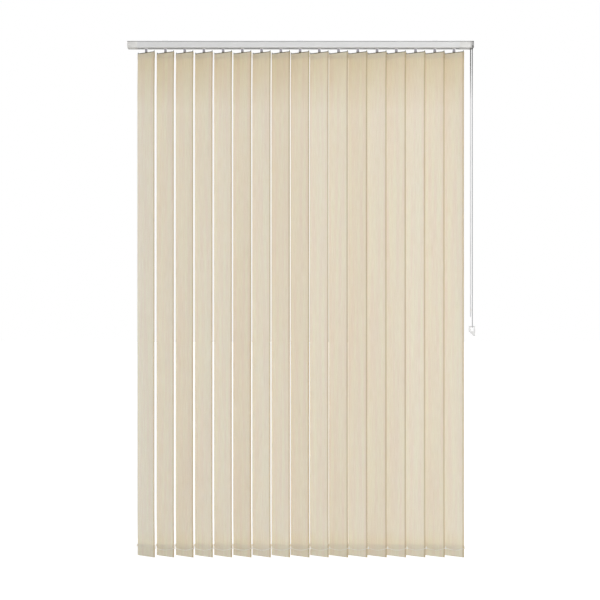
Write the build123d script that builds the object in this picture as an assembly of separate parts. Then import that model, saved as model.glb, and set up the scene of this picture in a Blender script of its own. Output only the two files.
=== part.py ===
from build123d import *
import math
import os

# A ceiling-fixed vertical blind with 17 fabric louvres, in millimetres.
# +X runs along the rail to the control end, -Y is the room side and +Z is up.
# The origin is on the ceiling plane, at the middle bracket.

# Louvres and their spacing
louvre_count = 17
louvre_pitch = 80.0
louvre_width = 89.0
louvre_drop = 2096.0
rest_angle = 30.0
fabric_thickness = 0.4
top_hem = 25.0
bottom_pocket = 48.0
hem_taper = 2.0

# Ceiling brackets
bracket_thickness = 1.5
bracket_length = 24.0
bracket_width = 26.0
bracket_spacing = 560.0
clip_wall = 1.2
clip_hook = 2.4
screw_hole_radius = 2.25

# Headrail section
rail_width = 40.0
rail_height = 28.0
rail_wall = 1.3
rail_top_radius = 4.0
rail_edge_radius = 1.0
rail_slot = 14.0
channel_mouth = 16.0
channel_depth = 6.0
rail_left = -675.0
rail_right = 661.0

# End mouldings
idle_cap_length = 41.0
control_length = 59.0
cover_thickness = 2.0
moulding_wall = 2.0
end_wall = 3.0
rod_boss = 8.0
exit_gap = 1.0
notch_height = 9.0
peg_reach = 3.0
peg_height = 1.5
peg_gap = 0.1
peg_half = 7.0
bearing_front = 1.75

# Carriers, which glide on the rail's two inner flanges
carrier_length = 12.5
carrier_waist = 11.5
carrier_shoulder = 16.5
carrier_top_gap = 0.8
shoulder_height = 8.4
runner_height = 2.6
neck_half_width = 5.8
neck_drop = 1.2
running_gap = 0.3

# Sides given to small rounds inside the rail and to the cords
small_sides = 8
cord_sides = 6

# Spacer strips between the carriers
strip_width = 5.0
strip_thickness = 0.3
strip_reach = 84.0
strip_foot = 3.0
strip_level_step = 0.52
strip_levels = 7
window_width = 6.0
window_top_gap = 1.6

# Tilt drive
rod_radius = 2.5
rod_side = 7.0
rod_depth = 18.3
rod_bore_gap = 0.35
key_width = 1.2
key_depth = 0.8
rod_end_gap = 0.3
chain_x = 710.4
chain_radius = 1.5
chain_pitch_radius = 7.5
chain_drop = 1115.0
wheel_flange_radius = 8.6
chain_wheel_width = 6.0
flange_width = 1.0
wheel_groove_radius = 5.7
connector_radius = 2.1
connector_length = 12.0
connector_lift = 20.0
wheel_steps = 6

# Draw cord
cord_x = 715.4
cord_radius = 1.0
cord_front_side = -12.0
cord_back_side = -5.0
cord_depth = 11.2
cord_notch = 3.0
cord_notch_floor = 1.6
roller_gap = 0.1
roller_width = 4.0
pin_radius = 1.25
pin_gap = 0.05
pulley_x = -697.0
pulley_height = 6.0
tidy_bar_drop = 1156.4

# Cord tidy
tidy_width = 25.0
tidy_height = 38.5
tidy_thickness = 4.6
tidy_left_wall = 6.0
tidy_right_wall = 4.5
tidy_left_drop = 20.5
tidy_toe = 6.0
tidy_window_height = 17.0
tidy_round = 1.5
tidy_shift = -1.8

# Stems and hangers
stem_radius = 2.5
stem_bore_gap = 0.3
collar_radius = 4.1
collar_height = 1.7
collar_lift = 5.2
collar_gap = 0.2
root_height = 3.0
louvre_gap = 16.0
prong_width = 9.0
prong_thickness = 1.4
prong_gap = 0.2
prong_lift = 2.0
hook_width = 3.2
hook_height = 2.0
hook_lift = 3.6
eye_gap = 0.5
hanger_thickness = 1.2
hanger_width = 87.0
hanger_height = 23.0
neck_width = 12.0
neck_height = 8.2
ear_width = 2.6
ear_height = 2.4
pocket_gap = 0.05
seam_height = 0.8

# Bottom weights and their chains
weight_thickness = 1.2
weight_width = 87.0
weight_height = 45.0
chain_height = 41.0
eye_reach = 4.5
fork_root = 1.8
fork_height = 7.6
fork_opening = 4.6
fork_tip = 0.8
clip_radius = 1.4
clip_height = 4.0
clip_sides = 4
link_thickness = 1.6
link_sag = 9.5
link_steps = 3

# Heights worked out from the sizes above
rail_top = -bracket_thickness
rail_bottom = rail_top - rail_height
web_top = rail_top - channel_depth
web_bottom = web_top - rail_wall
floor_top = rail_bottom + rail_wall
louvre_top = rail_bottom - louvre_gap
louvre_bottom = louvre_top - louvre_drop
rod_z = -rod_depth
cord_z = -cord_depth
bar_z = rail_bottom - tidy_bar_drop
chain_eye = louvre_bottom + chain_height
idle_end = rail_left - idle_cap_length
control_end = rail_right + control_length
first_stem = -louvre_pitch * (louvre_count - 1) / 2
inner_end = control_end - cover_thickness
moulding_half = rail_width / 2 - moulding_wall
moulding_floor = rail_bottom + moulding_wall
moulding_roof = rail_top - moulding_wall

# Rod, chain wheel and the wall that carries them
wheel_left = chain_x - chain_wheel_width / 2
wheel_right = chain_x + chain_wheel_width / 2
bearing_wall = wheel_left - end_wall - running_gap
rod_left = idle_end + end_wall + rod_end_gap
rod_right = wheel_right + rod_end_gap

# Carrier heights
carrier_top = web_bottom - carrier_top_gap
shoulder_bottom = carrier_top - shoulder_height
window_top = carrier_top - window_top_gap
window_bottom = window_top - strip_levels * strip_level_step - strip_thickness
runner_bottom = floor_top + running_gap
runner_top = runner_bottom + runner_height
carrier_bottom = rail_bottom - neck_drop
collar_bottom = floor_top + collar_lift
collar_top = collar_bottom + collar_height
root_top = carrier_bottom - running_gap
root_bottom = root_top - root_height

# Thickness of a louvre across its pockets
pocket_half = weight_thickness / 2 + pocket_gap
hem_half = pocket_half + fabric_thickness
eye_offset = louvre_width / 2 + eye_reach

# Draw cord bends: over the guide rollers and round the idle pulley
cord_turn = (cord_back_side - cord_front_side) / 2
cord_middle = (cord_back_side + cord_front_side) / 2
roller_radius = cord_turn - cord_radius - roller_gap
roller_x = cord_x - cord_turn
roller_z = cord_z - cord_turn

os.makedirs("parts", exist_ok=True)


def slab(x0, x1, y0, y1, z0, z1):
    """A rectangular block between two corners."""
    centre = ((x0 + x1) / 2, (y0 + y1) / 2, (z0 + z1) / 2)
    return Pos(*centre) * Box(x1 - x0, y1 - y0, z1 - z0)


def post(x, y, z0, z1, radius):
    """An upright cylinder."""
    return Pos(x, y, (z0 + z1) / 2) * Cylinder(radius, z1 - z0)


def bar_x(x0, x1, y, z, radius):
    """A cylinder along X."""
    return Pos((x0 + x1) / 2, y, z) * Rot(0, 90, 0) * Cylinder(radius, x1 - x0)


def prism(length, radius, bore=False):
    """A small round with flat sides: inside a circle of the radius, or as a bore outside it."""
    section = RegularPolygon(radius, small_sides, major_radius=not bore)
    return extrude(section, length / 2, both=True)


def hub_z(x, y, z0, z1, radius, bore=False):
    """A small round along Z."""
    return Pos(x, y, (z0 + z1) / 2) * prism(z1 - z0, radius, bore)


def hub_x(x0, x1, y, z, radius, bore=False):
    """A small round along X."""
    return Pos((x0 + x1) / 2, y, z) * Rot(0, 90, 0) * prism(x1 - x0, radius, bore)


def hub_y(x, y0, y1, z, radius, bore=False):
    """A small round along Y."""
    return Pos(x, (y0 + y1) / 2, z) * Rot(90, 0, 0) * prism(y1 - y0, radius, bore)


def along_x(points, x0, x1):
    """A solid of constant section along X, from (y, z) points."""
    section = Plane.YZ.offset(x0) * make_face(Polyline(*points, close=True))
    return extrude(section, x1 - x0)


def rail_outline(x0, x1):
    """The rail's outer form, rounded at the top edges and eased at the bottom edges."""
    block = slab(x0, x1, -rail_width / 2, rail_width / 2, rail_bottom, rail_top)
    long_edges = block.edges().filter_by(Axis.X)
    block = fillet(long_edges.group_by(Axis.Z)[-1], rail_top_radius)
    low_edges = block.edges().filter_by(Axis.X).group_by(Axis.Z)[0]
    return fillet(low_edges, rail_edge_radius)


def save(name, *solids):
    """Writes one node. Its pieces stay separate solids."""
    pieces = [solid for item in solids for solid in item.solids()]
    shape = pieces[0] if len(pieces) == 1 else Compound(children=pieces)
    shape.label = name
    export_step(shape, f"parts/{name}.step")


# Headrail: one extrusion with a T channel on top for the brackets and a slot below for the stems
def headrail():
    half = rail_width / 2
    under_lips = half - rail_top_radius
    x0 = rail_left
    x1 = rail_right
    rail = rail_outline(x0, x1)
    rail -= slab(x0, x1, rail_wall - half, half - rail_wall, floor_top, web_bottom)
    rail -= slab(x0, x1, -rail_slot / 2, rail_slot / 2, rail_bottom, floor_top)
    rail -= slab(x0, x1, -channel_mouth / 2, channel_mouth / 2, web_top, rail_top)
    rail -= slab(x0, x1, -under_lips, under_lips, web_top, rail_top - rail_wall)
    return rail


# Ceiling bracket: a spring clip whose two legs hook under the channel's lips
def bracket(x):
    leg_outer = channel_mouth / 2 - running_gap
    leg_inner = leg_outer - clip_wall
    lip_under = rail_top - rail_wall
    foot = lip_under - 2 * clip_wall
    x0 = x - bracket_length / 2
    x1 = x + bracket_length / 2
    clip = slab(x0, x1, -bracket_width / 2, bracket_width / 2, rail_top, 0)
    for side in (-1, 1):
        profile = [
            (side * leg_inner, rail_top),
            (side * leg_outer, rail_top),
            (side * leg_outer, lip_under),
            (side * (leg_outer + clip_hook), lip_under),
            (side * (leg_outer + clip_hook), lip_under - clip_wall),
            (side * leg_outer, foot),
            (side * leg_inner, foot),
        ]
        clip += along_x(profile, x0, x1)
    return clip - post(x, 0, rail_top, 0, screw_hole_radius)


# Idle end cap: closed at the end and below, open towards the rail, with a bearing boss for the rod
def idle_cap():
    cap = rail_outline(idle_end, rail_left)
    wall = idle_end + end_wall
    cap -= slab(wall, rail_left, -moulding_half, moulding_half, moulding_floor, moulding_roof)
    cap += hub_x(wall, wall + rod_boss, rod_side, rod_z, rod_radius + moulding_wall)
    return cap - bar_x(wall, wall + rod_boss, rod_side, rod_z, rod_radius + pin_gap)


def pulley_pin():
    """The idle pulley's pin stands between the floor and the roof of the cap."""
    return hub_z(pulley_x, cord_middle, moulding_floor, moulding_roof, pin_radius)


def grooved(make, half):
    """A pulley for the cord: make(low, high, radius, bore) gives a round along its axis."""
    groove = cord_radius + roller_gap
    rim = cord_turn + cord_radius / 2
    ring = make(-groove, groove, rim, False) - make(-groove, groove, roller_radius, False)
    return make(-half, half, rim, False) - ring - make(-half, half, pin_radius + pin_gap, True)


def idle_pulley():
    def disc(low, high, radius, bore):
        return hub_z(pulley_x, cord_middle, cord_z + low, cord_z + high, radius, bore)

    return grooved(disc, pulley_height / 2)


# Control housing: the strands leave through slots in its floor
def control_housing():
    shell = rail_outline(rail_right, inner_end)
    shell -= slab(
        rail_right, inner_end, -moulding_half, moulding_half, moulding_floor, moulding_roof
    )
    chain_reach = chain_radius + exit_gap
    for y in (rod_side - chain_pitch_radius, rod_side + chain_pitch_radius):
        shell -= slab(
            chain_x - chain_reach, chain_x + chain_reach,
            y - chain_reach, y + chain_reach, rail_bottom, moulding_floor
        )
    cord_reach = cord_radius + exit_gap
    for y in (cord_front_side, cord_back_side):
        shell -= slab(
            cord_x - cord_reach, cord_x + cord_reach,
            y - cord_reach, y + cord_reach, rail_bottom, moulding_floor
        )
    # a notch in the front wall lets the cord swing towards the hand
    shell -= slab(
        cord_x - cord_reach, cord_x + cord_reach,
        -rail_width / 2, -moulding_half, rail_bottom, rail_bottom + notch_height
    )
    # a wall across the back half carries the rod beside the chain wheel
    wall_end = bearing_wall + end_wall
    shell += slab(bearing_wall, wall_end, bearing_front, moulding_half, moulding_floor, moulding_roof)
    return shell - bar_x(bearing_wall, wall_end, rod_side, rod_z, rod_radius + pin_gap)


def control_cover():
    """The end plate, held by one peg under the housing's roof and one above its floor."""
    cover = rail_outline(inner_end, control_end)
    roof = moulding_roof - peg_gap
    floor = moulding_floor + peg_gap
    cover += slab(inner_end - peg_reach, inner_end, -peg_half, peg_half, roof - peg_height, roof)
    return cover + slab(inner_end - peg_reach, inner_end, 0, peg_half, floor, floor + peg_height)


# Guide rollers turn the two strands of the cord from the rail down to the hand
def guide_pin():
    pin_end = cord_back_side + roller_width / 2 + roller_gap
    return hub_y(roller_x, -moulding_half, pin_end, roller_z, pin_radius)


def guide_roller(y):
    def disc(low, high, radius, bore):
        return hub_y(roller_x, y + low, y + high, roller_z, radius, bore)

    return grooved(disc, roller_width / 2)


# Tilt rod with a keyway along it, and the grooved wheel that the chain turns
def tilt_rod():
    rod = bar_x(rod_left, rod_right, rod_side, rod_z, rod_radius)
    key_floor = rod_z + rod_radius - key_depth
    half_key = key_width / 2
    return rod - slab(
        rod_left, rod_right, rod_side - half_key, rod_side + half_key, key_floor, rod_z + rod_radius
    )


def chain_wheel():
    wheel = hub_x(wheel_left, wheel_right, rod_side, rod_z, wheel_flange_radius)
    groove_left = wheel_left + flange_width
    groove_right = wheel_right - flange_width
    ring = hub_x(groove_left, groove_right, rod_side, rod_z, wheel_flange_radius)
    ring -= hub_x(groove_left, groove_right, rod_side, rod_z, wheel_groove_radius)
    wheel -= ring
    return wheel - hub_x(wheel_left, wheel_right, rod_side, rod_z, rod_radius + pin_gap, bore=True)


# Carrier: one moulding of constant section that glides on the flanges, bored for the rod and the stem
def carrier(x):
    x0 = x - carrier_length / 2
    x1 = x + carrier_length / 2
    notch_floor = cord_z - cord_notch_floor
    half_notch = cord_notch / 2
    profile = [
        (carrier_shoulder, carrier_top),
        (carrier_shoulder, shoulder_bottom),
        (carrier_waist, shoulder_bottom),
        (carrier_waist, runner_top),
        (carrier_shoulder, runner_top),
        (carrier_shoulder, runner_bottom),
        (neck_half_width, runner_bottom),
        (neck_half_width, carrier_bottom),
        (-neck_half_width, carrier_bottom),
        (-neck_half_width, runner_bottom),
        (-carrier_shoulder, runner_bottom),
        (-carrier_shoulder, runner_top),
        (-carrier_waist, runner_top),
        (-carrier_waist, shoulder_bottom),
        (-carrier_shoulder, shoulder_bottom),
        (-carrier_shoulder, carrier_top),
    ]
    for y in (cord_front_side, cord_back_side):
        profile.append((y - half_notch, carrier_top))
        profile.append((y - half_notch, notch_floor))
        profile.append((y + half_notch, notch_floor))
        profile.append((y + half_notch, carrier_top))
    housing = along_x(profile, x0, x1)
    # window for the spacer strips
    half_window = window_width / 2
    housing -= slab(x0, x1, -half_window, half_window, window_bottom, window_top)
    # window for the stem's collar
    pocket = collar_radius + running_gap
    housing -= slab(x0, x1, -pocket, pocket, collar_bottom - collar_gap, collar_top + running_gap)
    housing -= hub_z(x, 0, carrier_bottom, collar_bottom, stem_radius + stem_bore_gap, bore=True)
    return housing - hub_x(x0, x1, rod_side, rod_z, rod_radius + rod_bore_gap, bore=True)


def spacer_strip(x, level):
    """A thin strip from this carrier that reaches left through its neighbours, on its own level."""
    top = window_top - (level + 0.5) * strip_level_step
    start = x - carrier_length / 2
    strip = slab(
        start - strip_reach, start + strip_foot,
        -strip_width / 2, strip_width / 2, top - strip_thickness, top
    )
    return strip + slab(
        start, start + strip_foot, -window_width / 2, window_width / 2, top - strip_thickness, top
    )


# Louvre: every piece is drawn across X, then turned to the resting tilt about its stem
def stem():
    half = prong_width / 2
    inner = hanger_thickness / 2 + prong_gap
    outer = inner + prong_thickness
    low = louvre_top + prong_lift
    hook_top = louvre_top + hook_lift + hook_height
    body = hub_z(0, 0, root_top, collar_bottom, stem_radius)
    body += hub_z(0, 0, collar_bottom, collar_top, collar_radius)
    body += slab(-half, half, -outer, outer, root_bottom, root_top)
    body += slab(-half, half, -outer, -inner, low, root_bottom)
    body += slab(-half, half, inner, outer, low, root_bottom)
    return body + slab(
        -hook_width / 2, hook_width / 2, -inner, inner, hook_top - hook_height, hook_top
    )


def hanger():
    """A flat plate in the top hem, with an eyed neck for the hook and an ear at each top corner."""
    half = hanger_width / 2
    half_neck = neck_width / 2
    thick = hanger_thickness / 2
    hook_top = louvre_top + hook_lift + hook_height
    eye_half = hook_width / 2 + eye_gap
    right = [
        (half, louvre_top - hanger_height),
        (half, louvre_top + ear_height),
        (half - ear_width, louvre_top + ear_height),
        (half - ear_width, louvre_top),
        (half_neck, louvre_top),
        (half_neck, louvre_top + neck_height),
    ]
    left = [(-x, z) for x, z in reversed(right)]
    front = Plane.XZ.offset(thick)
    plate = extrude(front * make_face(Polyline(*right, *left, close=True)), -hanger_thickness)
    return plate - slab(
        -eye_half, eye_half, -thick, thick, hook_top - hook_height - eye_gap, hook_top
    )


def fabric():
    """One length of cloth: two layers welded over the hanger at the top, and a pocket at the bottom."""
    sheet = fabric_thickness / 2
    hem_bottom = louvre_top - top_hem
    pocket_top = louvre_bottom + bottom_pocket
    right = [
        (hem_half, louvre_top),
        (hem_half, hem_bottom),
        (sheet, hem_bottom - hem_taper),
        (sheet, pocket_top + hem_taper),
        (hem_half, pocket_top),
        (hem_half, louvre_bottom),
    ]
    left = [(-y, z) for y, z in reversed(right)]
    half = louvre_width / 2
    cloth = along_x(right + left, -half, half)
    cloth -= slab(-half, half, -pocket_half, pocket_half, hem_bottom + seam_height, louvre_top)
    cloth -= slab(
        -half, half, -pocket_half, pocket_half,
        louvre_bottom + fabric_thickness, pocket_top - seam_height
    )
    return cloth


def weight():
    """A flat weight in the bottom pocket, with a forked lug at each end for the chain's clip."""
    half = weight_width / 2
    thick = weight_thickness / 2
    low = louvre_bottom + fabric_thickness
    plate = slab(-half, half, -thick, thick, low, low + weight_height)
    for side in (-1, 1):
        root = side * half
        tip = side * (eye_offset + fork_tip)
        throat = side * (louvre_width / 2 + fork_root)
        plate += slab(
            min(root, tip), max(root, tip), -thick, thick,
            chain_eye - fork_height / 2, chain_eye + fork_height / 2
        )
        plate -= slab(
            min(throat, tip), max(throat, tip), -thick, thick,
            chain_eye - fork_opening / 2, chain_eye + fork_opening / 2
        )
    return plate


# Stabilising chain: sagging links between the clips, along one edge of all the louvres
def edge_chain(side):
    dx = side * eye_offset * math.cos(math.radians(rest_angle))
    y = -side * eye_offset * math.sin(math.radians(rest_angle))
    half = link_thickness / 2
    chain = None
    for number in range(louvre_count):
        x = first_stem + number * louvre_pitch + dx
        clip = Pos(x, y, chain_eye) * extrude(
            RegularPolygon(clip_radius, clip_sides), clip_height / 2, both=True
        )
        chain = clip if chain is None else chain + clip
    for number in range(louvre_count - 1):
        x = first_stem + number * louvre_pitch + dx
        upper = []
        for step in range(link_steps + 1):
            share = step / link_steps
            drop = 4 * link_sag * share * (1 - share)
            upper.append((x + share * louvre_pitch, chain_eye + half - drop))
        lower = [(px, pz - link_thickness) for px, pz in reversed(upper)]
        face = make_face(Polyline(*upper, *lower, close=True))
        chain += Pos(0, y + half, 0) * Rot(90, 0, 0) * extrude(face, link_thickness)
    return chain


# Cords and the bead chain as plain tubes
def tube(path, radius):
    plane = Plane(origin=path @ 0, z_dir=path % 0)
    section = RegularPolygon(radius, cord_sides)
    solid = sweep(plane * section, path=path, transition=Transition.RIGHT)
    print("volume", solid.volume, "section times length", section.area * path.length)
    return solid


def loop_points(x, y0, y1, low):
    """A hanging loop: straight down from the housing, across and straight up again."""
    return [(x, y0, rail_bottom), (x, y0, low), (x, y1, low), (x, y1, rail_bottom)]


def loop_bend(y0, y1):
    """The radius that two right-angled bends leave room for at the bottom of a loop."""
    return 0.45 * abs(y1 - y0)


def tilt_chain():
    near = rod_side - chain_pitch_radius
    far = rod_side + chain_pitch_radius
    radius = loop_bend(near, far)
    print("tilt chain bend radii", radius, radius)
    route = loop_points(chain_x, near, far, rail_bottom - chain_drop)
    return tube(FilletPolyline(*route, radius=radius), chain_radius)


def draw_cord():
    radius = loop_bend(cord_front_side, cord_back_side)
    print("draw cord bend radii", radius, radius)
    route = loop_points(cord_x, cord_front_side, cord_back_side, bar_z - cord_turn)
    return tube(FilletPolyline(*route, radius=radius), cord_radius)


def wheel_chain():
    """The stretch of the chain that lies over its wheel, between the two floor slots."""
    near = rod_side - chain_pitch_radius
    far = rod_side + chain_pitch_radius
    route = [(chain_x, near, rail_bottom)]
    for step in range(wheel_steps + 1):
        turn = math.pi * step / wheel_steps
        y = rod_side - chain_pitch_radius * math.cos(turn)
        route.append((chain_x, y, rod_z + chain_pitch_radius * math.sin(turn)))
    route.append((chain_x, far, rail_bottom))
    return tube(Polyline(*route), chain_radius)


def rail_cord():
    """The cord inside the rail: over the guide rollers and round the idle pulley."""
    turn_x = pulley_x - cord_turn
    route = [
        (cord_x, cord_front_side, rail_bottom),
        (cord_x, cord_front_side, cord_z),
        (turn_x, cord_front_side, cord_z),
        (turn_x, cord_back_side, cord_z),
        (cord_x, cord_back_side, cord_z),
        (cord_x, cord_back_side, rail_bottom),
    ]
    bend = loop_bend(cord_front_side, cord_back_side)
    return tube(FilletPolyline(*route, radius=[cord_turn, bend, bend, cord_turn]), cord_radius)


def chain_connector():
    low = rail_bottom - chain_drop + connector_lift
    near = rod_side - chain_pitch_radius
    sleeve = hub_z(chain_x, near, low, low + connector_length, connector_radius)
    return sleeve - hub_z(
        chain_x, near, low, low + connector_length, chain_radius + pin_gap, bore=True
    )


def cord_tidy():
    """A moulded plate that hangs in the cord's loop by its round top bar."""
    x = cord_x + tidy_shift
    left = x - tidy_width / 2
    right = x + tidy_width / 2
    bar = tidy_thickness / 2
    outline = [
        (left, bar_z),
        (left, bar_z - tidy_left_drop),
        (right - tidy_toe, bar_z - tidy_height),
        (right, bar_z - tidy_height),
        (right, bar_z),
    ]
    front = Plane.XZ.offset(bar - cord_middle)
    plate = extrude(front * make_face(Polyline(*outline, close=True)), -tidy_thickness)
    corners = plate.edges().filter_by(Axis.Y).group_by(Axis.Z)[0:2]
    plate = fillet([edge for group in corners for edge in group], tidy_round)
    plate -= slab(
        left + tidy_left_wall, right - tidy_right_wall, cord_middle - bar, cord_middle + bar,
        bar_z - bar - tidy_window_height, bar_z
    )
    return plate + bar_x(left, right, cord_middle, bar_z, bar)


# Every node is written to its own file
save("headrail", headrail())
save("idle_end_cap", idle_cap())
save("pulley_pin", pulley_pin())
save("idle_pulley", idle_pulley())
save("control_housing", control_housing())
save("control_cover", control_cover())
save("guide_pin", guide_pin())
save("guide_roller_front", guide_roller(cord_front_side))
save("guide_roller_back", guide_roller(cord_back_side))
save("tilt_rod", tilt_rod())
save("chain_wheel", chain_wheel())
save("wheel_chain", wheel_chain())
save("rail_cord", rail_cord())
save("tilt_chain", tilt_chain())
save("chain_connector", chain_connector())
save("draw_cord", draw_cord())
save("cord_tidy", cord_tidy())
save("front_chain", edge_chain(1))
save("back_chain", edge_chain(-1))
save("bracket_left", bracket(-bracket_spacing))
save("bracket_middle", bracket(0))
save("bracket_right", bracket(bracket_spacing))

louvre_pieces = [fabric(), hanger(), stem(), weight()]
for number in range(louvre_count):
    x = first_stem + number * louvre_pitch
    label = f"{number + 1:02d}"
    if number == 0:
        save(f"carrier_{label}", carrier(x))
    else:
        save(f"carrier_{label}", carrier(x), spacer_strip(x, number % strip_levels))
    save(f"louvre_{label}", *[Pos(x, 0, 0) * Rot(0, 0, -rest_angle) * piece for piece in louvre_pieces])
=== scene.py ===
import math

import bmesh
import bpy
from mathutils import Matrix, Vector


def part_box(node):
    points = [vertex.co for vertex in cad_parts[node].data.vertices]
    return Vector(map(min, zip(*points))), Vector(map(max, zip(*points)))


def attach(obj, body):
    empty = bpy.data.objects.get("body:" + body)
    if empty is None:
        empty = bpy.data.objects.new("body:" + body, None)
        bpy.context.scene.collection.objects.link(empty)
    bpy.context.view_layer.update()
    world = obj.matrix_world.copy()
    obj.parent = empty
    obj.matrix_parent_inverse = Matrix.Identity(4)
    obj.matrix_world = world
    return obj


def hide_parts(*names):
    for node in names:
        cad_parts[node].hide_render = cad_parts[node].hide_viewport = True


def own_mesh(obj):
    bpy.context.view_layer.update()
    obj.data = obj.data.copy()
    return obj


# A ceiling-fixed vertical blind with 17 fabric louvres, dressed around its CAD frame, in metres.
# +X runs along the rail to the control end, -Y is the room side and +Z is up.
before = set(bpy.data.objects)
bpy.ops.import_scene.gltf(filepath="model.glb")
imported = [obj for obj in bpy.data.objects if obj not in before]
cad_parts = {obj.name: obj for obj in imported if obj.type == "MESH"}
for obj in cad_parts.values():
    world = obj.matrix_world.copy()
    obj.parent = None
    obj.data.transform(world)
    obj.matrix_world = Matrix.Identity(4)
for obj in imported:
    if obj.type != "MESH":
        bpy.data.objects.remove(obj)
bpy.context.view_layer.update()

MM = 0.001

# Rail and its mouldings
rail_bottom = -29.5 * MM
# a thin line of painted shade along the rail, and painted shade at the control end
groove_shade_height = -5 * MM
groove_shade_width = 2.4 * MM
control_end = 720 * MM
end_shade = 18 * MM
end_shade_full = 4 * MM
moulding_round = 0.35 * MM
bracket_round = 0.2 * MM

# Carriers, with the strips that start just past them
carrier_round = 0.25 * MM
carrier_reach = 6.3 * MM

# Louvres
louvre_count = 17
rest_angle = math.radians(30)
louvre_width = 89 * MM
louvre_top = -45.5 * MM
louvre_drop = 2096 * MM
louvre_bottom = louvre_top - louvre_drop
fabric_thickness = 0.4 * MM
top_hem = 25 * MM
hem_taper = 2 * MM
hem_set_back = 3.2 * MM
bottom_pocket = 48 * MM
pocket_gap = 0.05 * MM
pocket_turn = 0.8 * MM
pocket_fold = 0.6
bow_depth = 2 * MM
bow_fade = 150 * MM
body_columns = 12
body_rows = 16

# Cloth's threads, welds and painted shade, on a map that is moved along from louvre to louvre
map_stride = 0.77
thread_pitch = 1.1 * MM
weld_half = 0.6 * MM
weld_fade = 1.4 * MM
top_shade = 240 * MM
top_shade_full = 40 * MM
pocket_shade = 110 * MM
pocket_shade_full = 30 * MM
edge_shade = 9 * MM
edge_shade_full = 2 * MM

# Hangers in the top hems
plate_thickness = 1.2 * MM
plate_width = 87 * MM
hanger_height = 23 * MM
neck_width = 12 * MM
neck_height = 8.2 * MM
ear_width = 3.4 * MM
ear_height = 3.4 * MM
hanger_round = 0.35 * MM

# Stems and their hooks
journal_radius = 2.5 * MM
collar_radius = 4.1 * MM
collar_low = -23.0 * MM
collar_high = -21.3 * MM
journal_round = 0.25 * MM
root_high = -31.0 * MM
root_low = -34.0 * MM
root_round = 0.5 * MM
prong_width = 9 * MM
prong_thickness = 1.4 * MM
prong_gap = 0.2 * MM
prong_lift = 2 * MM
hook_width = 3.2 * MM
hook_low = louvre_top + 3.6 * MM
hook_high = hook_low + 2 * MM
hook_seat = 0.2 * MM
hook_round = 0.3 * MM
eye_gap = 0.5 * MM

# Bottom weights, their forks and the clips in them
weight_height = 45 * MM
weight_round = 0.3 * MM
eye_reach = 4.5 * MM
eye_offset = louvre_width / 2 + eye_reach
chain_eye = louvre_bottom + 41 * MM
fork_root = 1.8 * MM
fork_height = 7.6 * MM
fork_opening = 4.6 * MM
fork_tip = 0.8 * MM
clip_pin_radius = 1.0 * MM
clip_pin_height = 6.4 * MM
clip_head_radius = 2.9 * MM
clip_head_height = 1.4 * MM
clip_round = 0.3 * MM

# Bead chains along the louvres' edges
edge_bead_radius = 1.1 * MM
edge_bead_pitch = 4.0 * MM
edge_string_radius = 0.45 * MM
edge_sag = 9.5 * MM
edge_steps = 14

# Control chain and draw cord, with painted shade that turns them near black towards the rail
chain_x = 710.4 * MM
chain_front = -0.5 * MM
chain_back = 14.5 * MM
chain_low = -1144.5 * MM
bead_radius = 1.6 * MM
bead_pitch = 4.2 * MM
bead_string_radius = 0.8 * MM
connector_round = 0.2 * MM
wheel_centre = (7.0 * MM, -18.3 * MM)
wheel_pitch_radius = 7.5 * MM
wheel_steps = 16
cord_x = 715.4 * MM
cord_front = -12 * MM
cord_back = -5 * MM
cord_low = -1189.4 * MM
cord_diameter = 2 * MM
braid_pitch = 1.2 * MM
braid_lean = math.radians(35)
tidy_round = 0.5 * MM
painted_shade_from = -250 * MM
painted_shade_full = -90 * MM

# Modelling: a face looks a way when its normal is this far along it, and edges are sharp past an angle
looks = 0.9
sharp_angle = math.radians(35)
cloth_sharp_angle = math.radians(30)
flat_angle = math.radians(0.5)
merge_distance = 0.002 * MM
same_height = 0.01 * MM

# Camera: a 65.8 mm lens level with the middle of the blind
camera_place = (-0.0003, -4.561, -1.0754)
camera_lens = 65.8
sensor_width = 36

# Room: the floor is 2.4 m under the ceiling
floor_height = -2.4
floor_size = 60
floor_lift = 0.75

# Light from all round, by how far up (Z) and back (Y) it comes from, and one square lamp
level_light = 0.6
overhead_light = 0.25
overhead_from = 0.1
overhead_full = 0.7
behind_share = 1.8
behind_from = -0.2
behind_full = 0.5
lamp_place = (1.9, -6.7, -0.9)
lamp_aim = (0, 0, -1.1)
lamp_size = 3.0
lamp_power = 290


# Setting up
def fresh():
    """Nothing selected, so that the next operator acts only on its own piece."""
    bpy.ops.object.select_all(action="DESELECT")


def active(obj):
    """Only this piece selected, and active."""
    fresh()
    obj.select_set(True)
    bpy.context.view_layer.objects.active = obj


def placed(name, data):
    """A new object in the scene that holds this data."""
    obj = bpy.data.objects.new(name, data)
    bpy.context.collection.objects.link(obj)
    return obj


def stand_in(piece, body, source):
    """The piece moves with a body and stands for a CAD node."""
    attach(piece, body)
    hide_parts(source)


def hex_colour(code):
    """An sRGB hex colour as linear RGBA."""
    channels = [int(code[i:i + 2], 16) / 255 for i in (1, 3, 5)]
    linear = [c / 12.92 if c <= 0.04045 else ((c + 0.055) / 1.055) ** 2.4 for c in channels]
    return (*linear, 1)


def node(tree, kind, inputs=None, **settings):
    """Adds a node. Its inputs are values, or the output sockets that feed them."""
    made = tree.nodes.new(kind)
    for name, value in settings.items():
        setattr(made, name, value)
    for socket, value in (inputs or {}).items():
        if isinstance(value, bpy.types.NodeSocket):
            tree.links.new(value, made.inputs[socket])
        else:
            made.inputs[socket].default_value = value
    return made


# Camera
def add_camera():
    """Level with the blind's middle, looking along +Y."""
    data = bpy.data.cameras.new("camera")
    data.lens = camera_lens
    data.sensor_width = sensor_width
    data.clip_end = 100
    camera = placed("camera", data)
    camera.location = camera_place
    camera.rotation_euler = (math.radians(90), 0, 0)
    bpy.context.scene.camera = camera


add_camera()
bpy.context.scene.view_settings.view_transform = "Standard"


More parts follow.
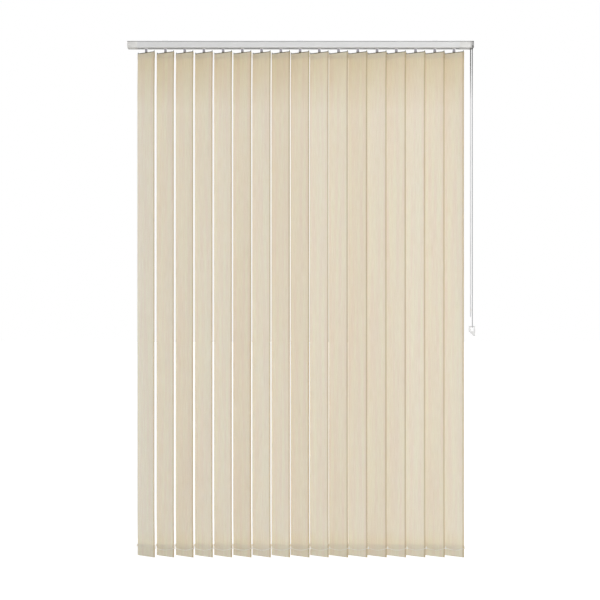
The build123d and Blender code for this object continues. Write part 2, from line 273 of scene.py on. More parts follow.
# Materials
def finish(name, roughness, metallic=0.0):
    """A Principled material, with its tree and shader."""
    material = bpy.data.materials.new(name)
    material.use_nodes = True
    tree = material.node_tree
    shader = tree.nodes["Principled BSDF"]
    shader.inputs["Roughness"].default_value = roughness
    shader.inputs["Metallic"].default_value = metallic
    return material, tree, shader


def grains(tree, size_mm, stretch):
    """Noise from 0 to 1 in the piece's own space, with grains of a real size."""
    place = node(tree, "ShaderNodeTexCoord").outputs["Object"]
    sized = node(tree, "ShaderNodeMapping", {"Vector": place, "Scale": stretch}).outputs[0]
    scale = 1 / (size_mm * MM)
    noise = {"Vector": sized, "Scale": scale, "Detail": 2.0}
    return node(tree, "ShaderNodeTexNoise", noise).outputs[0]


def mottle(tree, shader, patch_mm, first, second, stretch=(1, 1, 1)):
    """Base colour that wanders between two hex colours, in patches of a real size."""
    colour = node(
        tree, "ShaderNodeMix",
        {0: grains(tree, patch_mm, stretch), 6: hex_colour(first), 7: hex_colour(second)},
        data_type="RGBA"
    ).outputs[2]
    tree.links.new(colour, shader.inputs["Base Color"])
    return colour


def texture(tree, shader, grain_mm, strength, depth_mm, stretch=(1, 1, 1)):
    """Fine relief with grains of a real size and depth."""
    height = grains(tree, grain_mm, stretch)
    bump = node(
        tree, "ShaderNodeBump",
        {"Height": height, "Strength": strength, "Distance": depth_mm * MM}
    )
    tree.links.new(bump.outputs[0], shader.inputs["Normal"])


def shaded(tree, colour, value, start, full, code):
    """A colour multiplied by a hex colour, from not at all at start to wholly at full."""
    share = node(tree, "ShaderNodeMapRange", {"Value": value, 1: start, 2: full}).outputs[0]
    return node(
        tree, "ShaderNodeMix", {0: share, 6: colour, 7: hex_colour(code)},
        data_type="RGBA", blend_type="MULTIPLY"
    ).outputs[2]


def place_along(tree, axis):
    """The piece's own X, Y or Z in metres."""
    place = node(tree, "ShaderNodeTexCoord").outputs["Object"]
    return node(tree, "ShaderNodeSeparateXYZ", {0: place}).outputs[axis]


def away_from(tree, value, place):
    """How far a value is from a place, on either side."""
    off = node(tree, "ShaderNodeMath", {0: value, 1: place}, operation="SUBTRACT").outputs[0]
    return node(tree, "ShaderNodeMath", {0: off}, operation="ABSOLUTE").outputs[0]


def painted_groove_shade(tree, shader, colour):
    """Adds a thin dark line of painted shade along the rail and its mouldings, 5 mm below the ceiling.
    """
    away = away_from(tree, place_along(tree, "Z"), groove_shade_height)
    colour = shaded(tree, colour, away, groove_shade_width / 2, groove_shade_width / 4, "#a0a0a1")
    tree.links.new(colour, shader.inputs["Base Color"])
    return colour


def rail_paint():
    """Powder-coated aluminium: satin, with the faint orange peel of a baked coat."""
    material, tree, shader = finish("powder_coated_aluminium", 0.42)
    # with a thin line of painted shade near the top
    painted_groove_shade(tree, shader, mottle(tree, shader, 60, "#cbcbcb", "#d3d3d3"))
    texture(tree, shader, 1.4, 0.25, 0.05)
    return material


def end_moulding():
    """Injection-moulded ABS: fine spark-eroded grain, a little warmer than the rail."""
    material, tree, shader = finish("moulded_abs", 0.5)
    # with a thin line of painted shade near the top
    colour = painted_groove_shade(tree, shader, mottle(tree, shader, 30, "#cecdca", "#d5d4d1"))
    # painted shade: greyer over the last 18 mm of the control end
    along = place_along(tree, "X")
    colour = shaded(
        tree, colour, along, control_end - end_shade, control_end - end_shade_full, "#acacad"
    )
    tree.links.new(colour, shader.inputs["Base Color"])
    texture(tree, shader, 0.8, 0.3, 0.04)
    return material


def zinc_steel():
    """Zinc-plated spring steel: dull crystalline metal."""
    material, tree, shader = finish("zinc_plated_steel", 0.38, 1.0)
    mottle(tree, shader, 5, "#a9adb2", "#c6c9cc")
    texture(tree, shader, 0.5, 0.2, 0.02)
    return material


def acetal():
    """Moulded acetal: slippery and waxy, with a thin clear gloss."""
    material, tree, shader = finish("moulded_acetal", 0.36)
    mottle(tree, shader, 12, "#d8d6cf", "#e2e1dc")
    shader.inputs["Coat Weight"].default_value = 0.15
    return material


def stem_nylon():
    """Moulded grey nylon: matt, with faint flow marks down the stem."""
    material, tree, shader = finish("moulded_grey_nylon", 0.5)
    mottle(tree, shader, 3, "#9d9aa6", "#aeabb4", stretch=(1, 1, 0.2))
    return material


def hanger_plastic():
    """Moulded polypropylene insert, grey-olive where it shows in the open hem."""
    material, tree, shader = finish("moulded_polypropylene", 0.45)
    mottle(tree, shader, 6, "#595543", "#67634f", stretch=(0.3, 1, 1))
    return material


def weight_steel():
    """Painted mild steel strip: a thick cream dip coat."""
    material, tree, shader = finish("dip_painted_steel", 0.4)
    mottle(tree, shader, 9, "#e4d5b9", "#ecdfc8")
    texture(tree, shader, 2, 0.2, 0.05)
    return material


def mill_aluminium():
    """Extruded aluminium as it leaves the die: fine lines along its length."""
    material, tree, shader = finish("extruded_aluminium", 0.34, 1.0)
    along = (0.02, 1, 1)
    mottle(tree, shader, 0.6, "#b6b8bb", "#cfd0d2", stretch=along)
    texture(tree, shader, 0.6, 0.3, 0.02, stretch=along)
    return material


def ground_steel():
    """Ground steel pin: smooth and bright, with a very fine grain."""
    material, tree, shader = finish("ground_steel", 0.25, 1.0)
    mottle(tree, shader, 0.4, "#a8aaae", "#bfc1c4")
    return material


def spring_strip():
    """Stainless spring strip: bright, with rolled lines along its length."""
    material, tree, shader = finish("rolled_stainless_steel", 0.28, 1.0)
    mottle(tree, shader, 0.5, "#b2b4b7", "#cccdcf", stretch=(0.02, 1, 1))
    return material


def painted_shade_at_rail(tree, shader, pale):
    """Base colour with painted shade: from a pale hex colour to near black towards the rail."""
    height = {"Value": place_along(tree, "Z"), 1: painted_shade_from, 2: painted_shade_full}
    share = node(tree, "ShaderNodeMapRange", height).outputs[0]
    colour = node(
        tree, "ShaderNodeMix", {0: share, 6: hex_colour(pale), 7: hex_colour("#0e0f11")},
        data_type="RGBA"
    ).outputs[2]
    tree.links.new(colour, shader.inputs["Base Color"])


def bead_plastic():
    """Moulded acetal beads: glossy, with a faint unevenness from the mould."""
    material, tree, shader = finish("moulded_acetal_beads", 0.3)
    # painted shade, near black towards the rail
    painted_shade_at_rail(tree, shader, "#eceef0")
    texture(tree, shader, 1.2, 0.15, 0.03)
    return material


def cord_polyester():
    """Braided polyester: matt, with strands that cross every 1.2 mm."""
    material, tree, shader = finish("braided_polyester", 0.7)
    # painted shade, near black towards the rail
    painted_shade_at_rail(tree, shader, "#a2a4a7")
    place = node(tree, "ShaderNodeTexCoord").outputs["Object"]
    waves = []
    for lean in (braid_lean, -braid_lean):
        turned = node(
            tree, "ShaderNodeMapping", {"Vector": place, "Rotation": (0, lean, 0)}
        ).outputs[0]
        strands = {"Vector": turned, "Scale": band_scale(braid_pitch)}
        waves.append(node(tree, "ShaderNodeTexWave", strands, bands_direction="Z").outputs[1])
    crossing = node(
        tree, "ShaderNodeMath", {0: waves[0], 1: waves[1]}, operation="MAXIMUM"
    ).outputs[0]
    bump = node(
        tree, "ShaderNodeBump", {"Height": crossing, "Strength": 0.6, "Distance": 0.15 * MM}
    )
    tree.links.new(bump.outputs[0], shader.inputs["Normal"])
    shader.inputs["Sheen Weight"].default_value = 0.2
    return material


def band_scale(period):
    """The wave texture's scale for bands this far apart."""
    return math.pi / 10 / period


def white_plastic():
    """Moulded white polypropylene: soft gloss, with a grain that fingers have dulled."""
    material, tree, shader = finish("moulded_white_polypropylene", 0.4)
    mottle(tree, shader, 8, "#c6c6c5", "#cfcfce")
    texture(tree, shader, 0.7, 0.2, 0.03)
    return material


def clip_plastic():
    """Moulded white acetal of the clips, edge beads and connector: bright, with a soft gloss."""
    material, tree, shader = finish("moulded_white_acetal", 0.35)
    mottle(tree, shader, 5, "#f0eeea", "#f8f7f5")
    return material


def louvre_cloth():
    """Woven polyester stiffened with resin: matt, with slubbed warp threads down the louvre.

    The map on the cloth is in metres: across the louvre, then down it. Threads are 0.5 mm apart on
    the real cloth and are drawn 1.1 mm apart so that they show."""
    material, tree, shader = finish("stiffened_woven_polyester", 0.85)
    cloth = node(tree, "ShaderNodeUVMap", uv_map="cloth").outputs[0]
    places = node(tree, "ShaderNodeSeparateXYZ", {0: cloth}).outputs

    def streaks(across_mm, down_mm, detail, swing):
        """Streaks of a real size down the louvre, from 0 to 1 as the noise swings past its middle."""
        scale = (1 / (across_mm * MM), 1 / (down_mm * MM), 1)
        sized = node(tree, "ShaderNodeMapping", {"Vector": cloth, "Scale": scale}).outputs[0]
        noise = {"Vector": sized, "Scale": 1.0, "Detail": detail, "Roughness": 0.6}
        value = node(tree, "ShaderNodeTexNoise", noise).outputs[0]
        limits = {"Value": value, 1: 0.5 - swing, 2: 0.5 + swing}
        return node(tree, "ShaderNodeMapRange", limits).outputs[0]

    threads = {"Vector": cloth, "Scale": band_scale(thread_pitch)}
    warp = node(tree, "ShaderNodeTexWave", threads).outputs[1]
    weft = node(tree, "ShaderNodeTexWave", threads, bands_direction="Y").outputs[1]
    weave = node(tree, "ShaderNodeMath", {0: warp, 1: weft}, operation="MULTIPLY").outputs[0]

    # each louvre's own shade, warm and cool streaks, slubs in the threads and the gaps between them
    colour = hex_colour("#ffffff")
    for share, first, second in (
        (streaks(800, 4000, 0, 0.15), "#f4eee5", "#f9f5ee"),
        (streaks(14, 500, 1, 0.15), "#faf4f1", "#fbfbf4"),
        (streaks(2.2, 60, 2, 0.2), "#f6f4f0", "#ffffff"),
        (weave, "#f3efe8", "#ffffff"),
    ):
        tint = node(
            tree, "ShaderNodeMix", {0: share, 6: hex_colour(first), 7: hex_colour(second)},
            data_type="RGBA"
        ).outputs[2]
        colour = node(
            tree, "ShaderNodeMix", {0: 1.0, 6: colour, 7: tint},
            data_type="RGBA", blend_type="MULTIPLY"
        ).outputs[2]

    # ultrasonic weld lines under the hem and over the pocket
    height = weave
    for seam in (louvre_top - top_hem, louvre_bottom + bottom_pocket):
        away = away_from(tree, places["Y"], seam)
        limits = {"Value": away, 1: weld_half, 2: weld_fade}
        level = node(tree, "ShaderNodeMapRange", limits).outputs[0]
        height = node(tree, "ShaderNodeMath", {0: height, 1: level}, operation="MULTIPLY").outputs[0]
    bump = node(tree, "ShaderNodeBump", {"Height": height, "Strength": 0.5, "Distance": 0.16 * MM})
    tree.links.new(bump.outputs[0], shader.inputs["Normal"])

    # painted shade, warmer and darker, under the rail and on the weighted pocket, and along the
    # heat-cut edge that turns from the light
    place = {0: places["X"], 1: map_stride / 2, 2: -map_stride / 2}
    across = node(tree, "ShaderNodeMath", place, operation="WRAP").outputs[0]
    half = louvre_width / 2
    for value, start, full, code in (
        (places["Y"], louvre_top - top_shade, louvre_top - top_shade_full, "#f0ece1"),
        (places["Y"], louvre_bottom + pocket_shade, louvre_bottom + pocket_shade_full, "#fefbf2"),
        (across, half - edge_shade, half - edge_shade_full, "#dad2c2"),
    ):
        colour = shaded(tree, colour, value, start, full, code)
    tree.links.new(colour, shader.inputs["Base Color"])
    shader.inputs["Sheen Weight"].default_value = 0.15
    shader.inputs["Sheen Roughness"].default_value = 0.6
    shader.inputs["Specular IOR Level"].default_value = 0.3
    # daylight passes through the thin cloth
    shader.inputs["Subsurface Weight"].default_value = 0.6
    shader.inputs["Subsurface Radius"].default_value = (1.0, 0.9, 0.75)
    shader.inputs["Subsurface Scale"].default_value = 1.5 * MM
    return material


finishes = {
    "rail": rail_paint(),
    "moulding": end_moulding(),
    "zinc": zinc_steel(),
    "acetal": acetal(),
    "stem": stem_nylon(),
    "hanger": hanger_plastic(),
    "weight": weight_steel(),
    "rod": mill_aluminium(),
    "pin": ground_steel(),
    "strip": spring_strip(),
    "beads": bead_plastic(),
    "cord": cord_polyester(),
    "tidy": white_plastic(),
    "clip": clip_plastic(),
    "cloth": louvre_cloth(),
}


# Cords
def curve_along(name, kind, points):
    """An open curve of one spline, with these points."""
    curve = bpy.data.curves.new(name, "CURVE")
    curve.dimensions = "3D"
    curve.resolution_u = 24
    spline = curve.splines.new(kind)
    spline.points.add(len(points) - 1)
    for point, place in zip(spline.points, points):
        point.co = (*place, 1)
    return placed(name, curve)


def nurbs_line(name, points):
    """A smooth open line with these control points."""
    line = curve_along(name, "NURBS", points)
    spline = line.data.splines[0]
    spline.order_u = 3
    spline.use_endpoint_u = True
    return line


def drawn_mesh(curve_object):
    """A curve as mesh data, and the curve is then removed."""
    bpy.context.view_layer.update()
    shown = curve_object.evaluated_get(bpy.context.evaluated_depsgraph_get())
    mesh = bpy.data.meshes.new_from_object(shown)
    bpy.data.objects.remove(curve_object)
    return mesh


def hanging_loop(x, front, back, low):
    """Straight down from the housing, round the bottom and straight up again."""
    near_corner = low + back - front
    return [
        (x, front, rail_bottom),
        (x, front, near_corner),
        (x, front, low),
        (x, back, low),
        (x, back, near_corner),
        (x, back, rail_bottom),
    ]


def bead_mesh(radius):
    """One bead as mesh data, with its hole's axis along Z."""
    fresh()
    bpy.ops.mesh.primitive_uv_sphere_add(segments=10, ring_count=6, radius=radius)
    bead = bpy.context.active_object
    mesh = bead.data.copy()
    bpy.data.objects.remove(bead)
    return mesh


def string_mesh(points, radius):
    """A thin six-sided tube along points, as mesh data."""
    string = curve_along("string", "POLY", points)
    string.data.bevel_depth = radius
    string.data.bevel_resolution = 1
    string.data.use_fill_caps = True
    return drawn_mesh(string)


def spaced(points, pitch):
    """Places at an even pitch along points, with the direction of the line there."""
    places = []
    wanted = pitch / 2
    gone = 0.0
    for a, b in zip(points, points[1:]):
        step = (b - a).length
        while step > 0 and wanted <= gone + step:
            places.append((a.lerp(b, (wanted - gone) / step), (b - a).normalized()))
            wanted += pitch
        gone += step
    return places


def bead_chain(name, points, radius, pitch, string_radius, material):
    """Beads on a string along points, as one piece."""
    bead = bead_mesh(radius)
    whole = bmesh.new()
    whole.from_mesh(string_mesh(points, string_radius))
    for place, direction in spaced(points, pitch):
        turn = direction.to_track_quat("Z", "Y").to_matrix().to_4x4()
        one = bead.copy()
        one.transform(Matrix.Translation(place) @ turn)
        whole.from_mesh(one)
        bpy.data.meshes.remove(one)
    mesh = bpy.data.meshes.new(name)
    whole.to_mesh(mesh)
    whole.free()
    for face in mesh.polygons:
        face.use_smooth = True
    mesh.materials.append(material)
    return placed(name, mesh)


def control_beads(name, points, source):
    """A stretch of the control chain, which stands for a CAD node."""
    beads = bead_chain(
        name, points, bead_radius, bead_pitch, bead_string_radius, finishes["beads"]
    )
    stand_in(beads, "root", source)
    return beads


def hanging_chain():
    """The control chain's hanging loop, with the points that its beads follow."""
    route = hanging_loop(chain_x, chain_front, chain_back, chain_low)
    line = drawn_mesh(nurbs_line("chain_line", route))
    points = [vertex.co.copy() for vertex in line.vertices]
    bpy.data.meshes.remove(line)
    return control_beads("control_chain", points, "tilt_chain"), points


def wheel_chain():
    """The same chain over its wheel, inside the housing."""
    middle_y, middle_z = wheel_centre
    points = [Vector((chain_x, chain_front, rail_bottom))]
    for step in range(wheel_steps + 1):
        angle = math.pi * step / wheel_steps
        y = middle_y - wheel_pitch_radius * math.cos(angle)
        points.append(Vector((chain_x, y, middle_z + wheel_pitch_radius * math.sin(angle))))
    points.append(Vector((chain_x, chain_back, rail_bottom)))
    control_beads("wheel_beads", points, "wheel_chain")


def hanging_cord():
    """The draw cord's hanging loop, a smooth round cord."""
    cord = nurbs_line("pull_cord", hanging_loop(cord_x, cord_front, cord_back, cord_low))
    cord.data.bevel_depth = cord_diameter / 2
    cord.data.bevel_resolution = 3
    cord.data.use_fill_caps = True
    cord.data.materials.append(finishes["cord"])
    stand_in(cord, "root", "draw_cord")
    return cord


chain, chain_points = hanging_chain()
wheel_chain()
pull_cord = hanging_cord()


# Modelling
def primitive(name):
    """The primitive that was just added, named and with its place in its mesh."""
    obj = bpy.context.active_object
    obj.name = name
    bpy.ops.object.transform_apply(location=True, rotation=True, scale=True)
    return obj


def block(name, low, high):
    """A cube primitive between two corners."""
    fresh()
    middle = [(a + b) / 2 for a, b in zip(low, high)]
    size = [b - a for a, b in zip(low, high)]
    bpy.ops.mesh.primitive_cube_add(size=1, location=middle, scale=size)
    return primitive(name)


def rod(name, centre, radius, length, sides):
    """An upright cylinder primitive."""
    fresh()
    bpy.ops.mesh.primitive_cylinder_add(vertices=sides, radius=radius, depth=length, location=centre)
    return primitive(name)


def select_faces(obj, test):
    """In edit mode, selects only the faces whose middle and normal pass the test."""
    bpy.ops.mesh.select_mode(type="FACE")
    bpy.ops.mesh.select_all(action="DESELECT")
    mesh = bmesh.from_edit_mesh(obj.data)
    for face in mesh.faces:
        if test(face.calc_center_median(), face.normal):
            face.select_set(True)
    bmesh.update_edit_mesh(obj.data)


def bisect(places, axis):
    """In edit mode, cuts the whole mesh across an axis at each place."""
    for place in places:
        bpy.ops.mesh.select_all(action="SELECT")
        point = [0, 0, 0]
        point[axis] = place
        normal = [0, 0, 0]
        normal[axis] = 1
        bpy.ops.mesh.bisect(plane_co=point, plane_no=normal)


def push(move):
    """In edit mode, extrudes what is selected by a vector."""
    bpy.ops.mesh.extrude_region_move(TRANSFORM_OT_translate={"value": move})


def draw_out(depth):
    """In edit mode, extrudes the selected faces along their normals."""
    bpy.ops.mesh.extrude_region_shrink_fatten(TRANSFORM_OT_shrink_fatten={"value": depth})


def head(share, centre, height):
    """In edit mode, gives the selected end a head this many times as wide."""
    push((0, 0, 0))
    bpy.ops.transform.resize(value=(share, share, 1), center_override=centre)
    push((0, 0, height))


def joined(first, *others):
    """Several pieces as one."""
    active(first)
    for other in others:
        other.select_set(True)
    bpy.ops.object.join()
    return first


def cut(obj, tool):
    """Takes a tool's volume out of a piece."""
    active(obj)
    modifier = obj.modifiers.new("cut", "BOOLEAN")
    modifier.object = tool
    modifier.operation = "DIFFERENCE"
    modifier.solver = "EXACT"
    bpy.ops.object.modifier_apply(modifier=modifier.name)
    bpy.data.objects.remove(tool)


def rounded(obj, radius):
    """Rounds the sharp edges and shades the piece smooth."""
    active(obj)
    modifier = obj.modifiers.new("rounding", "BEVEL")
    modifier.width = radius
    modifier.segments = 2
    modifier.limit_method = "ANGLE"
    modifier.angle_limit = sharp_angle
    bpy.ops.object.modifier_apply(modifier=modifier.name)
    bpy.ops.object.shade_smooth_by_angle(angle=sharp_angle)


def softened(name, source, body, material, radius):
    """A CAD node's own form with its sharp edges rounded, as a moulded or pressed piece has them."""
    piece = placed(name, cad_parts[source].data.copy())
    piece.data.materials.clear()
    active(piece)
    bpy.ops.object.mode_set(mode="EDIT")
    bpy.ops.mesh.select_all(action="SELECT")
    bpy.ops.mesh.remove_doubles(threshold=merge_distance)
    bpy.ops.mesh.dissolve_limited(angle_limit=flat_angle)
    bpy.ops.object.mode_set(mode="OBJECT")
    rounded(piece, radius)
    piece.data.materials.append(material)
    stand_in(piece, body, source)
    return piece


# Louvre, modelled across X about its stem and then copied
def cloth():
    """Front layer, body and bottom pocket in one strip, with the back layer of the hem behind it."""
    half = louvre_width / 2
    layer = plate_thickness / 2 + pocket_gap + fabric_thickness / 2
    hem_low = louvre_top - top_hem
    hem_high = louvre_top - hem_set_back
    pocket_high = louvre_bottom + bottom_pocket
    body_step = (pocket_high - hem_low + 2 * hem_taper) / body_rows
    path = [(-layer, hem_low), (0, hem_low - hem_taper)]
    for row in range(1, body_rows + 1):
        path.append((0, hem_low - hem_taper + row * body_step))
    path += [
        (-layer, pocket_high),
        (-layer, louvre_bottom + pocket_turn),
        (-pocket_fold * layer, louvre_bottom + fabric_thickness / 2),
        (pocket_fold * layer, louvre_bottom + fabric_thickness / 2),
        (layer, louvre_bottom + pocket_turn),
        (layer, pocket_high),
        (fabric_thickness, pocket_high + hem_taper),
    ]
    back = [(layer, hem_low), (fabric_thickness, hem_low - hem_taper)]
    whole = joined(strip("cloth", hem_high, path), strip("hem", hem_high, back))

    # a slight bow across the louvre, which the plates in its hem and pocket hold flat
    for vertex in whole.data.vertices:
        from_ends = min(hem_low - vertex.co.z, vertex.co.z - pocket_high)
        hold = min(max(from_ends / bow_fade, 0), 1)
        ease = hold * hold * (3 - 2 * hold)
        vertex.co.y -= bow_depth * ease * (vertex.co.x / half) ** 2
    map_cloth(whole)
    active(whole)
    modifier = whole.modifiers.new("thickness", "SOLIDIFY")
    modifier.thickness = fabric_thickness
    modifier.offset = 0
    bpy.ops.object.modifier_apply(modifier=modifier.name)
    bpy.ops.object.shade_smooth_by_angle(angle=cloth_sharp_angle)
    whole.data.materials.append(finishes["cloth"])
    return whole


def strip(name, top, path):
    """A row of faces across the louvre from its top, extruded down along (y, z) points."""
    fresh()
    first_y, first_z = path[0]
    bpy.ops.mesh.primitive_grid_add(x_subdivisions=body_columns, y_subdivisions=1, size=1)
    obj = bpy.context.active_object
    obj.name = name
    for vertex in obj.data.vertices:
        upper = vertex.co.y > 0
        vertex.co = (vertex.co.x * louvre_width, first_y, top if upper else first_z)
    bpy.ops.object.mode_set(mode="EDIT")
    bpy.ops.mesh.select_mode(type="EDGE")
    bpy.ops.mesh.select_all(action="DESELECT")
    mesh = bmesh.from_edit_mesh(obj.data)
    for edge in mesh.edges:
        if all(abs(v.co.z - first_z) < same_height for v in edge.verts):
            edge.select_set(True)
    bmesh.update_edit_mesh(obj.data)
    for (y0, z0), (y1, z1) in zip(path, path[1:]):
        push((0, y1 - y0, z1 - z0))
    bpy.ops.mesh.select_all(action="SELECT")
    bpy.ops.mesh.normals_make_consistent(inside=False)
    bpy.ops.object.mode_set(mode="OBJECT")
    return obj


def map_cloth(obj):
    """The cloth's own map in metres: across the louvre and down it."""
    while obj.data.uv_layers:
        obj.data.uv_layers.remove(obj.data.uv_layers[0])
    layer = obj.data.uv_layers.new(name="cloth")
    for loop in obj.data.loops:
        place = obj.data.vertices[loop.vertex_index].co
        layer.data[loop.index].uv = (place.x, place.z)


def hanger():
    """A plate with an eyed neck in the middle and an ear at each top corner."""
    half = plate_width / 2
    thick = plate_thickness / 2
    obj = block("hanger", (-half, -thick, louvre_top - hanger_height), (half, thick, louvre_top))
    bpy.ops.object.mode_set(mode="EDIT")
    ear = half - ear_width
    bisect((-ear, -neck_width / 2, neck_width / 2, ear), 0)
    select_faces(obj, lambda c, n: n.z > looks and abs(c.x) > ear)
    push((0, 0, ear_height))
    select_faces(obj, lambda c, n: n.z > looks and abs(c.x) < neck_width / 2)
    push((0, 0, neck_height))
    bpy.ops.object.mode_set(mode="OBJECT")
    eye = hook_width / 2 + eye_gap
    cut(obj, block("eye", (-eye, -2 * thick, hook_low - eye_gap), (eye, 2 * thick, hook_high)))
    rounded(obj, hanger_round)
    obj.data.materials.append(finishes["hanger"])
    return obj


def stem():
    """A turning journal with its collar, a root block, two prongs and the hook between them."""
    inner = plate_thickness / 2 + prong_gap
    outer = inner + prong_thickness
    half = prong_width / 2
    centre = (0, 0, (root_high + collar_low) / 2)
    journal = rod("stem", centre, journal_radius, collar_low - root_high, sides=24)
    bpy.ops.object.mode_set(mode="EDIT")
    select_faces(journal, lambda c, n: n.z > looks)
    head(collar_radius / journal_radius, (0, 0, 0), collar_high - collar_low)
    bpy.ops.object.mode_set(mode="OBJECT")
    root = block("root", (-half, -outer, root_low), (half, outer, root_high))
    bpy.ops.object.mode_set(mode="EDIT")
    bisect((-inner, inner), 1)
    select_faces(root, lambda c, n: n.z < -looks and abs(c.y) > inner)
    push((0, 0, louvre_top + prong_lift - root_low))
    bpy.ops.object.mode_set(mode="OBJECT")
    reach = inner + hook_seat
    hook = block("hook", (-hook_width / 2, -reach, hook_low), (hook_width / 2, reach, hook_high))
    rounded(root, root_round)
    rounded(hook, hook_round)
    rounded(journal, journal_round)
    obj = joined(journal, root, hook)
    obj.data.materials.append(finishes["stem"])
    return obj


def weight():
    """A flat bar with a forked lug at each end."""
    half = plate_width / 2
    thick = plate_thickness / 2
    low = louvre_bottom + fabric_thickness
    obj = block("weight", (-half, -thick, low), (half, thick, low + weight_height))
    bpy.ops.object.mode_set(mode="EDIT")
    lug = fork_height / 2
    gap = fork_opening / 2
    bisect([chain_eye + z for z in (-lug, -gap, gap, lug)], 2)
    select_faces(obj, lambda c, n: abs(n.x) > looks and abs(c.z - chain_eye) < lug)
    throat = louvre_width / 2 + fork_root - half
    draw_out(throat)
    select_faces(obj, lambda c, n: abs(n.x) > looks and gap < abs(c.z - chain_eye) < lug)
    draw_out(eye_offset + fork_tip - half - throat)
    bpy.ops.object.mode_set(mode="OBJECT")
    rounded(obj, weight_round)
    obj.data.materials.append(finishes["weight"])
    return obj


def clips():
    """A pin with a head at each end in each fork, which the chains hang from."""
    pins = []
    for side in (-1, 1):
        x = side * eye_offset
        pin = rod("clips", (x, 0, chain_eye), clip_pin_radius, clip_pin_height, sides=12)
        bpy.ops.object.mode_set(mode="EDIT")
        for up in (-1, 1):
            select_faces(pin, lambda c, n: up * n.z > looks and up * (c.z - chain_eye) > 0)
            head(clip_head_radius / clip_pin_radius, (x, 0, 0), up * clip_head_height)
        bpy.ops.object.mode_set(mode="OBJECT")
        rounded(pin, clip_round)
        pins.append(pin)
    obj = joined(*pins)
    obj.data.materials.append(finishes["clip"])
    return obj


def stem_place(number):
    """Where along the rail a louvre's stem stands, which is the middle of the louvre."""
    low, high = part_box(f"louvre_{number:02d}")
    return (low.x + high.x) / 2


def copy_to_louvres(master, name):
    """One copy on each louvre, with its place and turn in its mesh."""
    made = []
    for number in range(1, louvre_count + 1):
        louvre = f"louvre_{number:02d}"
        place = Matrix.Translation((stem_place(number), 0, 0))
        mesh = master.data.copy()
        mesh.transform(place @ Matrix.Rotation(-rest_angle, 4, "Z"))
        piece = placed(f"{name}_{number:02d}", mesh)
        stand_in(piece, louvre, louvre)
        made.append(piece)
    bpy.data.objects.remove(master)
    return made


def shift_maps(cloths):
    """Moves each louvre's map along, so that no two have the same threads."""
    for number, obj in enumerate(cloths):
        for point in obj.data.uv_layers["cloth"].data:
            point.uv.x += number * map_stride


cloths = copy_to_louvres(cloth(), "cloth")
shift_maps(cloths)
hangers = copy_to_louvres(hanger(), "hanger")
copy_to_louvres(stem(), "stem")
weights = copy_to_louvres(weight(), "weight")
copy_to_louvres(clips(), "clips")


# Chains along the louvres' lower edges
def edge_chain(name, side):
    """Sagging strings of beads from clip to clip, which draw together as the louvres stack."""
    across = side * eye_offset * math.cos(rest_angle)
    y = -side * eye_offset * math.sin(rest_angle)
    points = []
    for number in range(1, louvre_count):
        x0 = stem_place(number) + across
        x1 = stem_place(number + 1) + across
        for step in range(edge_steps):
            share = step / edge_steps
            drop = 4 * edge_sag * share * (1 - share)
            points.append(Vector((x0 + share * (x1 - x0), y, chain_eye - drop)))
    last = Vector((stem_place(louvre_count) + across, y, chain_eye))
    points.append(last)
    chain = bead_chain(
        f"{name}_beads", points, edge_bead_radius, edge_bead_pitch, edge_string_radius, finishes["clip"]
    )
    stand_in(chain, name, name)
    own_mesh(chain)


edge_chain("front_chain", 1)
edge_chain("back_chain", -1)


# Rail, mouldings and the works inside
def dress(names, material):
    """Gives CAD nodes their finish."""
    for name in names:
        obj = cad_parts[name]
        obj.data.materials.clear()
        obj.data.materials.append(material)


dress(["headrail"], finishes["rail"])
dress(["idle_pulley", "guide_roller_front", "guide_roller_back", "chain_wheel"], finishes["acetal"])
dress(["pulley_pin", "guide_pin"], finishes["pin"])
dress(["tilt_rod"], finishes["rod"])
dress(["rail_cord"], finishes["cord"])
for piece, source in (
    ("idle_end", "idle_end_cap"),
    ("control_body", "control_housing"),
    ("control_end_plate", "control_cover"),
):
    softened(piece, source, "root", finishes["moulding"], moulding_round)
for side in ("left", "middle", "right"):
    bracket = f"bracket_{side}"
    softened(f"clip_{bracket}", bracket, "root", finishes["zinc"], bracket_round)
tidy = softened(
    "cord_tidy_moulding", "cord_tidy", "root", finishes["tidy"], tidy_round
)
connector = softened(
    "bead_connector", "chain_connector", "root", finishes["clip"], connector_round
)


def carriers():
    """Each carrier's moulding, with the bright strip that spaces it from its neighbour."""
    for number in range(1, louvre_count + 1):
        source = f"carrier_{number:02d}"
        body = "root" if number == louvre_count else source
        piece = softened(
            f"runner_{number:02d}", source, body, finishes["acetal"], carrier_round
        )
        piece.data.materials.append(finishes["strip"])
        edge = stem_place(number) - carrier_reach
        for face in piece.data.polygons:
            if face.center.x < edge:
                face.material_index = 1


carriers()


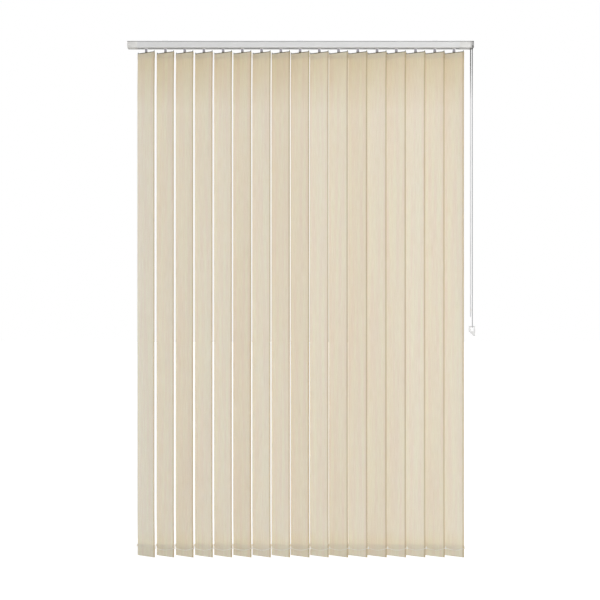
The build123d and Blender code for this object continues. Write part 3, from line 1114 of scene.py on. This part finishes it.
# Studio
def studio_world():
    """Light from all round, less from above and more from behind, before a white background."""
    world = bpy.data.worlds.new("studio")
    world.use_nodes = True
    bpy.context.scene.world = world
    tree = world.node_tree
    tree.nodes.clear()
    way = node(tree, "ShaderNodeTexCoord").outputs["Generated"]
    parts = node(tree, "ShaderNodeSeparateXYZ", {0: way}).outputs
    strength = 1.0
    for value, start, full, first, last in (
        (parts["Z"], overhead_from, overhead_full, level_light, overhead_light),
        (parts["Y"], behind_from, behind_full, 1.0, behind_share),
    ):
        limits = {"Value": value, 1: start, 2: full, 3: first, 4: last}
        share = node(tree, "ShaderNodeMapRange", limits).outputs[0]
        strength = node(
            tree, "ShaderNodeMath", {0: strength, 1: share}, operation="MULTIPLY"
        ).outputs[0]
    white = hex_colour("#ffffff")
    light = node(tree, "ShaderNodeBackground", {"Color": white, "Strength": strength})
    backdrop = node(tree, "ShaderNodeBackground", {"Color": white, "Strength": 1.0})
    mix = node(
        tree, "ShaderNodeMixShader", {0: seen(tree), 1: light.outputs[0], 2: backdrop.outputs[0]}
    )
    node(tree, "ShaderNodeOutputWorld", {"Surface": mix.outputs[0]})


def seen(tree):
    """1 for rays from the camera, and for what it sees in or through a surface."""
    rays = node(tree, "ShaderNodeLightPath").outputs
    share = rays["Is Camera Ray"]
    for other in ("Is Glossy Ray", "Is Transmission Ray"):
        share = node(
            tree, "ShaderNodeMath", {0: share, 1: rays[other]}, operation="MAXIMUM"
        ).outputs[0]
    return share


def floor():
    """A plain pale floor that keeps the blind's shadow and otherwise looks white."""
    fresh()
    bpy.ops.mesh.primitive_plane_add(size=floor_size, location=(0, 0, floor_height))
    ground = bpy.context.active_object
    ground.name = "floor"
    material = bpy.data.materials.new("pale_matt_floor")
    material.use_nodes = True
    tree = material.node_tree
    tree.nodes.clear()
    matt = node(tree, "ShaderNodeBsdfDiffuse", {"Color": hex_colour("#f0f0ef")})
    lift = node(
        tree, "ShaderNodeMath", {0: seen(tree), 1: floor_lift}, operation="MULTIPLY"
    ).outputs[0]
    glow = node(tree, "ShaderNodeEmission", {"Color": hex_colour("#ffffff"), "Strength": lift})
    both = node(tree, "ShaderNodeAddShader", {0: matt.outputs[0], 1: glow.outputs[0]})
    node(tree, "ShaderNodeOutputMaterial", {"Surface": both.outputs[0]})
    ground.data.materials.append(material)


def softbox():
    """A square area lamp that faces the middle of the blind."""
    data = bpy.data.lights.new("front_softbox", "AREA")
    data.size = lamp_size
    data.energy = lamp_power
    lamp = placed("front_softbox", data)
    lamp.location = lamp_place
    aim = Vector(lamp_aim) - Vector(lamp_place)
    lamp.rotation_euler = aim.to_track_quat("-Z", "Y").to_euler()


studio_world()
floor()
softbox()
